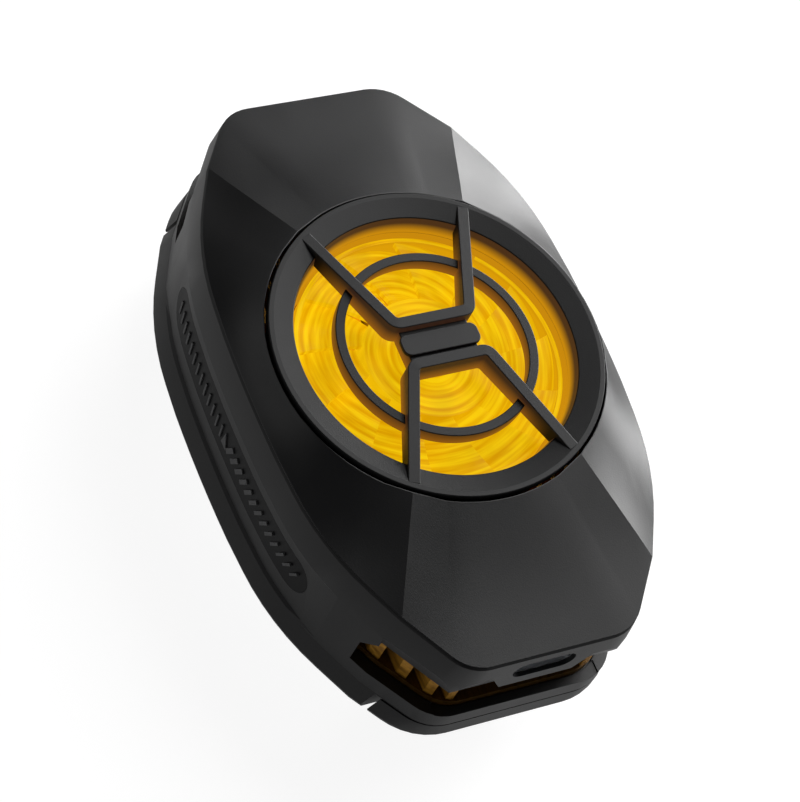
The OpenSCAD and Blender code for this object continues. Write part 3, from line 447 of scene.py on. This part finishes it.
# Upright faces within LIT_R get a painted glow of the fan's light, and the fan's own ring starts at
# FAN_RING_IN
LIT_R, LIT_NORMAL = 19.8, 0.5
FAN_RING_IN = 17.85
ROUND_STEPS = 144
BEND_STEPS = 6


def join_rings(form, rings, closed=False):
    """Walls between each ring of points and the next, with an end at each side unless closed."""
    count = len(rings[0])
    pairs = list(zip(rings, rings[1:])) + ([(rings[-1], rings[0])] if closed else [])
    for a, b in pairs:
        for i in range(count):
            j = (i + 1) % count
            form.faces.new((a[i], a[j], b[j], b[i]))
    if not closed:
        form.faces.new(rings[0])
        form.faces.new(rings[-1])
    bmesh.ops.recalc_face_normals(form, faces=form.faces)


def revolved(profile, top):
    """Closed ring whose section is a list of radius and depth below the top."""
    form = bmesh.new()
    rings = []
    for step in range(ROUND_STEPS):
        turn = 2 * math.pi * step / ROUND_STEPS
        points = [(r * MM * math.cos(turn), r * MM * math.sin(turn), top - depth * MM)
                  for r, depth in profile]
        rings.append([form.verts.new(point) for point in points])
    join_rings(form, rings, closed=True)
    return form


def bend(before, corner, after, radius):
    """Points of an arc that rounds off a corner."""
    to_before, to_after = (before - corner).normalized(), (after - corner).normalized()
    half = to_before.angle(to_after) / 2
    middle = corner + (to_before + to_after).normalized() * radius / math.sin(half)
    start = corner + to_before * radius / math.tan(half) - middle
    end = corner + to_after * radius / math.tan(half) - middle
    return [middle + start.slerp(end, step / BEND_STEPS) * radius for step in range(BEND_STEPS + 1)]


def bracket(form, side, top):
    """Bent bracket: two arms from the rim that meet a bar beside the centre plate, at side times +Y."""
    angle = math.radians(RIDGE_ANGLE)
    rim = (RIM_R - RIM_LIP) * Vector((math.cos(angle), math.sin(angle)))
    foot = Vector((BAR_HALF, BAR_Y))
    reach = (rim - foot).length
    mirror = Vector((-1, 1))
    thick_end = foot.lerp(rim, 1 - 2 * RIM_LIP / reach)
    half_path = [rim, thick_end] + bend(rim, foot, foot * mirror, BEND_R)
    path = half_path + [point * mirror for point in reversed(half_path)]
    rings = []
    for i, point in enumerate(path):
        ahead = (path[min(i + 1, len(path) - 1)] - path[max(i - 1, 0)]).normalized()
        across = Vector((-ahead.y, ahead.x)) * SPOKE_W / 2
        out = max(0.0, (Vector((abs(point.x), point.y)) - foot).dot(rim - foot) / reach ** 2)
        high = RIM_TOP * out
        low = RIM_TOP + SPOKE_END_DEPTH if i in (0, len(path) - 1) else SPOKE_DEPTH
        ring = [(point + across, high), (point - across, high),
                (point - across, low), (point + across, low)]
        rings.append([form.verts.new((p.x * MM, side * p.y * MM, top - depth * MM))
                      for p, depth in ring])
    join_rings(form, rings)


def rounded_block(form, half, corner_r, low, high):
    """Upright block with rounded corners, which reaches as far as half each way from the axis."""
    rings = []
    for z in (low, high):
        ring = []
        for quarter, signs in enumerate(((1, 1), (-1, 1), (-1, -1), (1, -1))):
            for step in range(BEND_STEPS + 1):
                turn = math.pi / 2 * (quarter + step / BEND_STEPS)
                point = (half - Vector((corner_r, corner_r))) * Vector(signs)
                point += Vector((math.cos(turn), math.sin(turn))) * corner_r
                ring.append(form.verts.new((point.x, point.y, z)))
        rings.append(ring)
    join_rings(form, rings)


def add_grille():
    """Funnel, middle ring and two bent brackets with the shelf between them."""
    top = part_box("intake_grille")[1].z

    # Faces that get the painted glow of the fan's light: upright ones near the fan's axis
    def lit(face):
        radius = face.calc_center_median().to_2d().length
        return abs(face.normal.z) < LIT_NORMAL and radius < LIT_R * MM

    def add_part(form, name, width, look, lit_look):
        stand_for(form, name, "intake_grille", "housing", width, look, (lit_look, lit))

    funnel = revolved([(RIM_R, RIM_TOP), (RIM_R - RIM_LIP, RIM_TOP),
                       (FUNNEL_R, RIM_TOP + FUNNEL_DEPTH), (THROAT_R, THROAT_LOW),
                       (THROAT_R + THROAT_WALL, THROAT_LOW), (RIM_R, RIM_TOP + RIM_DEPTH)], top)
    add_part(funnel, "grille_funnel", FUNNEL_EDGE, FUNNEL, LIT_THROAT)
    ring_low = RING_TOP + RING_DEPTH
    ring = revolved([(RING_R, RING_TOP), (RING_R - RING_W, RING_TOP),
                     (RING_R - RING_W, ring_low), (RING_R, ring_low)], top)
    add_part(ring, "grille_ring", GRILLE_EDGE, GRILLE, LIT_SIDE)
    brackets = bmesh.new()
    for side in (-1, 1):
        bracket(brackets, side, top)
    shelf = Vector((BAR_HALF - SHELF_INSET, BAR_Y)) * MM
    shelf_low, shelf_high = top - SPOKE_DEPTH * MM, top - SHELF_TOP * MM
    rounded_block(brackets, shelf, PLATE_CORNER_R * MM, shelf_low, shelf_high)
    add_part(brackets, "grille_brackets", GRILLE_EDGE, GRILLE, LIT_SIDE)


def add_plate():
    """Bare plate with rounded corners at the middle of the grille, on the shelf between the brackets."""
    low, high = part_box("centre_plate")
    form = bmesh.new()
    half = high.to_2d() - Vector((0, PLATE_INSET)) * MM
    rounded_block(form, half, PLATE_CORNER_R * MM, low.z, high.z - PLATE_DROP * MM)
    stand_for(form, "centre_plate_shape", "centre_plate", "housing", GRILLE_EDGE)


def stretched_springs(node):
    """Springs between the cover's posts and a jaw's posts, as a smooth-shaded copy of the CAD node."""
    mesh = nodes[node].data.copy()
    piece = bpy.data.objects.new(node + "_shape", mesh)
    bpy.context.scene.collection.objects.link(piece)
    for polygon in mesh.polygons:
        polygon.use_smooth = True
    paint(piece, LOOKS[node])
    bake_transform(piece)
    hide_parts(node)


def in_fan_ring(face):
    return face.calc_center_median().to_2d().length > FAN_RING_IN * MM


def add_pieces():
    for name, obj in nodes.items():
        paint(obj, LOOKS[name])
    dressed("top_lid", "housing", LID_EDGE)
    dressed("mid_housing", "housing", HOUSING_EDGE)
    add_grille()
    add_plate()
    dressed("impeller", "fan", FAN_EDGE, (FAN_RING, in_fan_ring), FAN_ANGLE, FAN_ANGLE)
    lighter_marks("left_inlay")
    lighter_marks("right_inlay")
    dressed("front_jaw", "front_clamp", JAW_EDGE)
    dressed("rear_jaw", "rear_clamp", JAW_EDGE)
    stretched_springs("front_springs")
    stretched_springs("rear_springs")


# Stage, in metres

# Lamps: name, place, width and height, and watts. Each points at the object.
LAMPS = (
    ("right_low", (0.5, 0.2, 0.13), (0.5, 0.24), 5.0),
    ("right_high", (0.36, 0.2, 0.62), (0.5, 0.5), 4.2),
)
LAMP_TARGET = (0, 0, 0.03)
FLOOR_SIZE, FLOOR_AT = 8, (0, 0, -0.0004)
FLOOR_RGB, FLOOR_ROUGH = (0.2, 0.2, 0.2, 1), 0.9
# The floor's glow for the camera, and the share of it that reflections show
FLOOR_GLOW, FLOOR_SHINE = 0.9, 0.42
WHITE = (1, 1, 1, 1)
# The world is white up to the first height of the sky and dark from the second
SKY_WHITE_TO, SKY_DARK_FROM, SKY_DARK = 0.08, 0.5, (0.02, 0.02, 0.02, 1)


def add_light(name, at, size, watts):
    data = bpy.data.lights.new(name, "AREA")
    data.shape = "RECTANGLE"
    data.size, data.size_y = size
    data.energy = watts
    lamp = bpy.data.objects.new(name, data)
    lamp.location = at
    lamp.rotation_euler = (Vector(LAMP_TARGET) - Vector(at)).to_track_quat("-Z", "Y").to_euler()
    bpy.context.scene.collection.objects.link(lamp)


def seen_directly(tree):
    """1 for rays of the camera, a share for those that come by reflection or through glass, else 0."""
    path = tree.nodes.new("ShaderNodeLightPath")
    seen = path.outputs["Is Camera Ray"]
    for ray in ("Is Glossy Ray", "Is Transmission Ray"):
        share = tree.nodes.new("ShaderNodeMath")
        share.operation = "MULTIPLY"
        share.inputs[1].default_value = FLOOR_SHINE
        tree.links.new(path.outputs[ray], share.inputs[0])
        either = tree.nodes.new("ShaderNodeMath")
        either.operation = "MAXIMUM"
        tree.links.new(seen, either.inputs[0])
        tree.links.new(share.outputs[0], either.inputs[1])
        seen = either.outputs[0]
    return seen


def add_floor():
    bpy.ops.mesh.primitive_plane_add(size=FLOOR_SIZE, location=FLOOR_AT)
    floor = bpy.context.object
    floor.name = "floor"
    material = bpy.data.materials.new("pale_floor")
    material.use_nodes = True
    tree = material.node_tree
    shader = tree.nodes["Principled BSDF"]
    shader.inputs["Base Color"].default_value = FLOOR_RGB
    shader.inputs["Roughness"].default_value = FLOOR_ROUGH
    shader.inputs["Specular IOR Level"].default_value = 0.0
    shader.inputs["Emission Color"].default_value = WHITE
    glow = tree.nodes.new("ShaderNodeMath")
    glow.operation = "MULTIPLY"
    glow.inputs[1].default_value = FLOOR_GLOW
    tree.links.new(seen_directly(tree), glow.inputs[0])
    tree.links.new(glow.outputs[0], shader.inputs["Emission Strength"])
    floor.data.materials.append(material)


def add_world():
    """Studio that is white round the horizon and dark overhead."""
    world = bpy.data.worlds.new("studio")
    bpy.context.scene.world = world
    world.use_nodes = True
    tree = world.node_tree
    background = tree.nodes["Background"]
    place = tree.nodes.new("ShaderNodeTexCoord")
    split = tree.nodes.new("ShaderNodeSeparateXYZ")
    tree.links.new(place.outputs["Generated"], split.inputs["Vector"])
    fade = tree.nodes.new("ShaderNodeValToRGB")
    points = fade.color_ramp.elements
    points[0].position, points[0].color = SKY_WHITE_TO, WHITE
    points[1].position, points[1].color = SKY_DARK_FROM, SKY_DARK
    tree.links.new(split.outputs["Z"], fade.inputs["Fac"])
    tree.links.new(fade.outputs["Color"], background.inputs["Color"])


def add_stage():
    add_floor()
    add_world()
    for lamp in LAMPS:
        add_light(*lamp)


bpy.context.scene.view_settings.view_transform = "Standard"
add_camera()
add_pieces()
add_stage()
